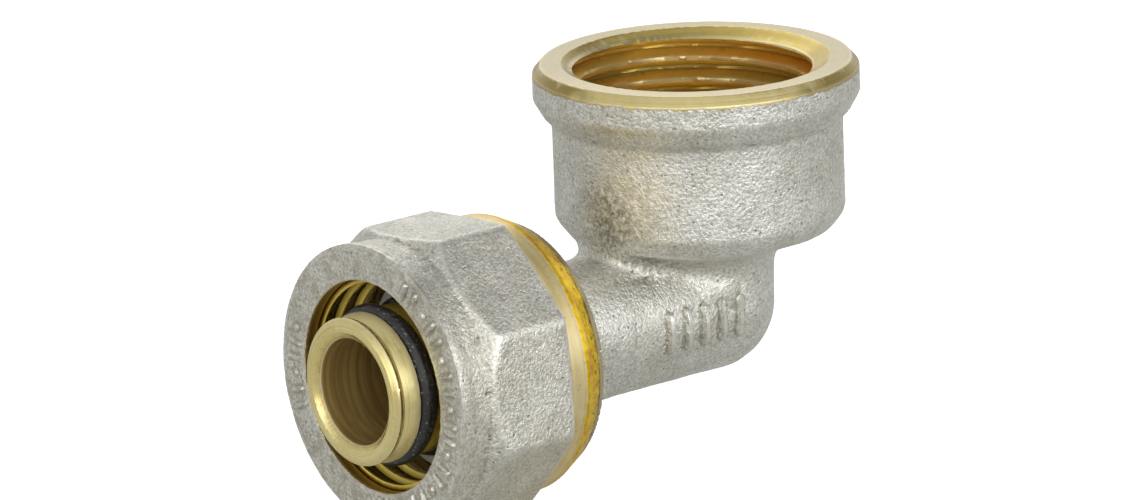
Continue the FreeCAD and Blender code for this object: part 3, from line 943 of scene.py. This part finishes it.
# painted highlight: a near-white patch on the socket's front left stands in for light reflected there
pale_painted_highlight = n.math("MULTIPLY", n.ramp(n.noise(0.9, 4.0, 0.6, offset=47), 0.34, 0.56), painted_highlight_zone)
col_n = n.mix(n.math("MULTIPLY", pale_painted_highlight, 0.66), col_n, (0.98, 0.94, 0.83))
col_n = n.mix(n.math("MULTIPLY", stain, 0.80), col_n, (0.21, 0.17, 0.115))
port = n.attr("port")
n.turned_v = n.join(*n.turned("port"))
col_s, rough_s, h_s = brass(n, n.turned("socket"), (0.76, 0.56, 0.17), (0.86, 0.67, 0.25), 2.0)
stripe = n.noise(0.8, 2.0, 0.5, v=n.join(0.0, n.split(n.mm)[2], n.math("MULTIPLY", n.math("COSINE", n.turned("socket")[2]), 0.35)), offset=71)
in_socket = n.ramp(n.split(n.mm)[2], -0.5, -1.1)
col_s = n.mix(n.math("MULTIPLY", in_socket, 0.85), col_s, n.mix(n.ramp(stripe, 0.40, 0.60), (0.92, 0.58, 0.10), (0.66, 0.54, 0.15)))
rough_s = n.mixf(in_socket, rough_s, 0.40)
col_p, rough_p, h_p = brass(n, n.turned("port"), (0.90, 0.74, 0.29), (1.0, 0.87, 0.42), 6.0, 0.14)
col_b = n.mix(port, col_s, col_p)
rough_b = n.mixf(port, rough_s, rough_p)
h_b = n.mixf(port, h_s, h_p)
outer = n.ramp(s_rad, 11.5, 11.6)
bright = n.noise(0.7, 3.0, 0.6, offset=55)
turned_in = n.mix(bright, (0.55, 0.41, 0.105), (0.72, 0.57, 0.18))
turned_out = n.mix(bright, (0.86, 0.70, 0.27), (1.0, 0.88, 0.46))
col_b = n.mix(n.math("MULTIPLY", burnish, 0.85), col_b, n.mix(outer, turned_in, turned_out))
col_b = n.mix(rimtop, col_b, n.mix(n.noise(0.9, 3.0, 0.6, offset=51), (0.59, 0.505, 0.30), (0.70, 0.615, 0.395)))
# painted light on the rim: the rim top gets a painted highlight on the side towards the camera, and the chamfers get
# painted shade on the other sides
toward_camera = n.math("DIVIDE", n.vmath("DOT_PRODUCT", n.mm, (0.77, -0.64, 0.0)), s_rad)
toward_camera = n.math("ADD", toward_camera, n.math("MULTIPLY", n.math("SUBTRACT", n.noise(3.0, 2.0, 0.5, offset=58), 0.5), 0.4))
col_b = n.mix(n.math("MULTIPLY", rimtop, n.ramp(toward_camera, 0.0, 0.9)), col_b, n.tint(col_b, 1.17))
# painted shade on the outer chamfer, everywhere but the side towards the camera
painted_chamfer_shade = n.math("MULTIPLY", n.math("MULTIPLY", burnish, outer), n.ramp(toward_camera, 0.82, 0.64))
col_b = n.mix(n.math("MULTIPLY", painted_chamfer_shade, 0.80), col_b, (0.30, 0.215, 0.05))
# painted shade on the inner chamfer, on the camera's left side
toward_camera_left = n.math("DIVIDE", n.vmath("DOT_PRODUCT", n.mm, (-0.64, -0.77, 0.0)), s_rad)
painted_lead_in_shade = n.math("MULTIPLY", n.math("MULTIPLY", burnish, n.ramp(s_rad, 11.0, 10.9)), n.ramp(toward_camera_left, 0.62, 0.90))
col_b = n.mix(n.math("MULTIPLY", painted_lead_in_shade, 0.70), col_b, (0.25, 0.18, 0.045))
rough_b = n.mixf(land, rough_b, 0.40)
scuff = n.ramp(n.noise(0.7, 3.0, 0.6, v=n.join(p_rad, p_high, n.math("MULTIPLY", n.math("COSINE", p_ang), 1.6)), offset=77), 0.50, 0.70)
col_b = n.mix(n.math("MULTIPLY", land, 0.80), col_b, n.mix(n.math("MULTIPLY", scuff, 0.7), (1.0, 0.90, 0.46), (0.62, 0.48, 0.13)))
# painted shade: a dark line on the insert where a fine groove would hold shade
painted_groove_shade = n.math("MULTIPLY", n.math("MULTIPLY", n.ramp(p_high, 35.10, 35.16), n.ramp(p_high, 35.20, 35.27, 1.0, 0.0)), n.ramp(p_rad, 5.6, 5.7))
col_b = n.mix(n.math("MULTIPLY", painted_groove_shade, 0.75), col_b, (0.30, 0.21, 0.05))
bore = n.attr("bore")
streak = n.noise(0.45, 3.0, 0.6, v=n.join(n.split(n.turned_v)[0], n.math("MULTIPLY", n.split(n.turned_v)[1], 0.9), n.math("MULTIPLY", n.math("COSINE", n.split(n.turned_v)[2]), 0.4)), offset=44)
col_b = n.mix(bore, col_b, n.mix(n.ramp(streak, 0.35, 0.65), (0.33, 0.21, 0.065), (0.50, 0.36, 0.125)))
rough_b = n.mixf(bore, rough_b, 0.50)
col_b = n.mix(n.ramp(wear_and_hollow_shade, 0.15, 0.6, 0.0, 0.5), col_b, (0.95, 0.85, 0.55))
# painted shade: hollows of the brass are darkened where shade falls; the line above lightens worn convex edges
col_b = n.mix(n.ramp(wear_and_hollow_shade, -0.10, -0.55, 0.0, 0.5), col_b, (0.36, 0.24, 0.07))
lip = n.ramp(n.math("ABSOLUTE", edge), 0.0, 0.10, 0.55, 0.0)
col = n.mix(is_brass, col_n, col_b)
col = n.mix(lip, col, (0.30, 0.26, 0.17))
nrm_n = n.bump(h_n, 0.038)
nrm_b = n.bump(n.math("MULTIPLY", h_b, n.mixf(land, n.mixf(bore, 1.0, 0.4), 2.0)), 0.012)
mixn = n.nt.nodes.new("ShaderNodeMix")
mixn.data_type = "VECTOR"
n.put(mixn.inputs[0], is_brass)
n.put(mixn.inputs[4], nrm_n)
n.put(mixn.inputs[5], nrm_b)
n.set(color=col, rough=n.mixf(is_brass, rough_n, rough_b), metal=n.mixf(bore, n.mixf(land, 1.0, 0.60), 0.45), normal=n.vmath("NORMALIZE", mixn.outputs[1]),
      aniso=n.math("MULTIPLY", is_brass, n.mixf(bore, 0.6, 0.0)), tangent=n.across(n.ramp(p_high, 15.0, 16.0)))
body.data.materials.clear()
body.data.materials.append(n.mat)

# ---- nut ---------------------------------------------------------------------------------------------------
n = Nodes("nickel_nut_with_bare_brass_rear")
wear_and_hollow_shade = n.math("MULTIPLY", n.attr("wear_and_hollow_shade"), 1.5)
edge = n.math("ADD", n.attr("brass"), n.math("MULTIPLY", n.math("SUBTRACT", n.noise(0.6, 3.0, 0.6, offset=3), 0.5), 0.30))
is_brass = n.ramp(edge, -0.03, 0.05)
col_n, rough_n, h_n = nickel(n, wear_and_hollow_shade, 60.0, (0.71, 0.695, 0.61), (0.79, 0.775, 0.70))
co = n.turned("port")
patina = n.math("MULTIPLY", n.ramp(co[1], 33.3, 33.6), n.ramp(n.noise(0.8, 4.0, 0.65, offset=81), 0.46, 0.62))
col_n = n.mix(n.math("MULTIPLY", patina, 0.52), col_n, (0.42, 0.39, 0.30))
col_b, rough_b, h_b = brass(n, co, (0.82, 0.67, 0.32), (0.93, 0.79, 0.46), 8.0, 0.13)
rear = n.math("ADD", n.math("ADD", n.attr("rear"), 0.42), n.math("MULTIPLY", n.math("SUBTRACT", n.noise(0.7, 3.0, 0.6, offset=9), 0.5), 0.5))
amber_mask = n.ramp(rear, -0.05, 0.10)
amber = n.mix(n.ramp(n.noise(1.1, 4.0, 0.65, offset=15), 0.32, 0.62), (0.74, 0.39, 0.002), (1.0, 0.69, 0.022))
dots = n.ramp(n.noise(0.42, 3.0, 0.65, offset=19), 0.54, 0.64)
amber = n.mix(n.math("MULTIPLY", dots, n.ramp(rear, 0.5, 1.6, 0.25, 0.85)), amber, (0.12, 0.07, 0.015))
# painted shade along the nut's rear edge
painted_rear_edge_shade = n.ramp(n.math("ADD", rear, n.math("MULTIPLY", n.noise(0.8, 3.0, 0.6, offset=23), 1.4)), 2.20, 2.70)
amber = n.mix(n.math("MULTIPLY", painted_rear_edge_shade, 0.9), amber, (0.05, 0.035, 0.012))
col_b = n.mix(amber_mask, col_b, amber)
mouth = n.attr("mouth")
col_b = n.mix(mouth, col_b, n.mix(n.noise(1.2, 3.0, 0.5, offset=27), (0.50, 0.33, 0.08), (0.66, 0.46, 0.14)))
col_b = n.mix(n.ramp(wear_and_hollow_shade, 0.15, 0.6, 0.0, 0.5), col_b, (0.95, 0.85, 0.55))
rough_b = n.mixf(amber_mask, n.math("ADD", rough_b, 0.14), 0.32)
col = n.mix(is_brass, col_n, col_b)
col = n.mix(n.ramp(n.math("ABSOLUTE", edge), 0.0, 0.10, 0.35, 0.0), col, (0.42, 0.36, 0.24))
nrm_n = n.bump(h_n, 0.044)
nrm_b = n.bump(h_b, 0.008)
mixn = n.nt.nodes.new("ShaderNodeMix")
mixn.data_type = "VECTOR"
n.put(mixn.inputs[0], is_brass)
n.put(mixn.inputs[4], nrm_n)
n.put(mixn.inputs[5], nrm_b)
n.set(color=col, rough=n.mixf(is_brass, rough_n, rough_b), metal=1.0, normal=n.vmath("NORMALIZE", mixn.outputs[1]),
      aniso=n.math("MULTIPLY", is_brass, 0.25), tangent=n.across(1.0))
nut.data.materials.clear()
nut.data.materials.append(n.mat)

# ---- split ring --------------------------------------------------------------------------------------------
n = Nodes("bare_brass_ring")
col_b, rough_b, h_b = brass(n, n.turned("port"), (0.70, 0.52, 0.09), (0.88, 0.70, 0.17), 12.0, 0.10)
# painted shade in the valleys between the ring's inner ridges
painted_valley_shade = n.ramp(n.attr("depth"), 8.05, 8.42)
col_b = n.mix(n.math("MULTIPLY", painted_valley_shade, 0.75), col_b, (0.22, 0.15, 0.015))
n.set(color=col_b, rough=rough_b, metal=1.0, normal=n.bump(h_b, 0.012))
ring.data.materials.clear()
ring.data.materials.append(n.mat)

# ---- O-rings -----------------------------------------------------------------------------------------------
n = Nodes("black_seal_rubber")
dust = n.ramp(n.noise(0.9, 4.0, 0.65), 0.48, 0.70)
speck = n.ramp(n.noise(0.22, 2.0, 0.6, offset=5), 0.635, 0.69)
col = n.mix(n.math("MULTIPLY", dust, 0.6), (0.018, 0.018, 0.017), (0.085, 0.090, 0.095))
col = n.mix(n.math("MULTIPLY", speck, 0.75), col, (0.38, 0.38, 0.36))
rough = n.mixf(dust, 0.34, 0.62)
n.set(color=col, rough=rough, metal=0.0, spec=0.55, normal=n.bump(n.noise(0.25, 3.0, 0.6, offset=8), 0.02))
for o in (oring1, oring2):
    o.data.materials.clear()
    o.data.materials.append(n.mat)

# ---- washer ------------------------------------------------------------------------------------------------
n = Nodes("washer_nylon")
col = n.mix(n.ramp(n.noise(1.4, 3.0, 0.5), 0.3, 0.7), (0.70, 0.68, 0.61), (0.80, 0.78, 0.72))
n.set(color=col, rough=n.ramp(n.noise(0.4, 2.0, 0.5, offset=4), 0.3, 0.7, 0.38, 0.55), metal=0.0, sss=0.15,
      normal=n.bump(n.noise(0.2, 2.0, 0.5), 0.01))
washer.data.materials.clear()
washer.data.materials.append(n.mat)


# =============================================================================================================
# Floor, light, camera
# =============================================================================================================
scene = bpy.context.scene
scene.view_settings.view_transform = "Standard"

me = bpy.data.meshes.new("floor")
me.from_pydata([(-4, -4, -0.0316), (4, -4, -0.0316), (4, 4, -0.0316), (-4, 4, -0.0316)], [], [(0, 1, 2, 3)])
floor = bpy.data.objects.new("floor", me)
scene.collection.objects.link(floor)
m = bpy.data.materials.new("pale_floor")
m.use_nodes = True
nt = m.node_tree
nt.nodes.clear()
out = nt.nodes.new("ShaderNodeOutputMaterial")
dif = nt.nodes.new("ShaderNodeBsdfDiffuse")
dif.inputs["Color"].default_value = (0.86, 0.86, 0.86, 1)
emi = nt.nodes.new("ShaderNodeEmission")
emi.inputs["Color"].default_value = (1, 1, 1, 1)
emi.inputs["Strength"].default_value = 0.75
add = nt.nodes.new("ShaderNodeAddShader")
seen = nt.nodes.new("ShaderNodeMixShader")
lp = nt.nodes.new("ShaderNodeLightPath")
dull = nt.nodes.new("ShaderNodeBsdfDiffuse")
dull.inputs["Color"].default_value = (0.69, 0.69, 0.67, 1)
nt.links.new(dif.outputs[0], add.inputs[0])
nt.links.new(emi.outputs[0], add.inputs[1])
nt.links.new(lp.outputs["Is Camera Ray"], seen.inputs[0])
nt.links.new(dull.outputs[0], seen.inputs[1])
nt.links.new(add.outputs[0], seen.inputs[2])
nt.links.new(seen.outputs[0], out.inputs[0])
me.materials.append(m)

world = bpy.data.worlds.new("studio")
scene.world = world
world.use_nodes = True
nt = world.node_tree
nt.nodes.clear()
out = nt.nodes.new("ShaderNodeOutputWorld")
white = nt.nodes.new("ShaderNodeBackground")
white.inputs[0].default_value = (1, 1, 1, 1)
white.inputs[1].default_value = 1.0
room = nt.nodes.new("ShaderNodeBackground")
room.inputs[1].default_value = 1.0
tc = nt.nodes.new("ShaderNodeTexCoord")


def lobe(direction, a, b, lo, hi):
    """A soft patch of light in the room, strongest towards a direction."""
    d = Vector(direction).normalized()
    dot = nt.nodes.new("ShaderNodeVectorMath")
    dot.operation = "DOT_PRODUCT"
    nt.links.new(tc.outputs["Generated"], dot.inputs[0])
    dot.inputs[1].default_value = d
    mr = nt.nodes.new("ShaderNodeMapRange")
    mr.interpolation_type = "SMOOTHSTEP"
    nt.links.new(dot.outputs["Value"], mr.inputs["Value"])
    mr.inputs["From Min"].default_value, mr.inputs["From Max"].default_value = a, b
    mr.inputs["To Min"].default_value, mr.inputs["To Max"].default_value = lo, hi
    return mr.outputs["Result"]


def total(values):
    acc = values[0]
    for v in values[1:]:
        ad = nt.nodes.new("ShaderNodeMath")
        nt.links.new(acc, ad.inputs[0])
        nt.links.new(v, ad.inputs[1])
        acc = ad.outputs[0]
    return acc


level = total([lobe(d, a, b, lo, hi) for d, a, b, lo, hi in ROOM])
nt.links.new(level, room.inputs[1])
lp = nt.nodes.new("ShaderNodeLightPath")
sw = nt.nodes.new("ShaderNodeMixShader")
nt.links.new(lp.outputs["Is Camera Ray"], sw.inputs[0])
nt.links.new(room.outputs[0], sw.inputs[1])
nt.links.new(white.outputs[0], sw.inputs[2])
nt.links.new(sw.outputs[0], out.inputs[0])


def softbox(name, where, size, watts, colour=(1, 1, 1)):
    li = bpy.data.lights.new(name, "AREA")
    li.shape = "RECTANGLE"
    li.size, li.size_y = size
    li.energy = watts
    li.color = colour
    ob = bpy.data.objects.new(name, li)
    ob.location = where
    ob.rotation_mode = "QUATERNION"
    ob.rotation_quaternion = (Vector((0, -0.01, -0.015)) - Vector(where)).to_track_quat("-Z", "Y")
    scene.collection.objects.link(ob)


for args in SOFTBOXES:
    softbox(*args)

cam_data = bpy.data.cameras.new("camera")
cam = bpy.data.objects.new("camera", cam_data)
scene.collection.objects.link(cam)
rot = Matrix(((0.6386662639702956, -0.18449342691787007, 0.7470392082684318),
              (0.7686269153836839, 0.19876277807401158, -0.608034557406127),
              (-0.036305209185296845, 0.9625256014654373, 0.26874969452933356)))
cam.matrix_world = Matrix.Translation((0.3888387644, -0.3300851446, 0.1268287462)) @ rot.to_4x4()
cam_data.sensor_fit = "HORIZONTAL"
cam_data.sensor_width = 36.0
cam_data.lens = 208.31301219719555
cam_data.clip_start, cam_data.clip_end = 0.02, 20.0
scene.camera = cam

bpy.context.view_layer.update()
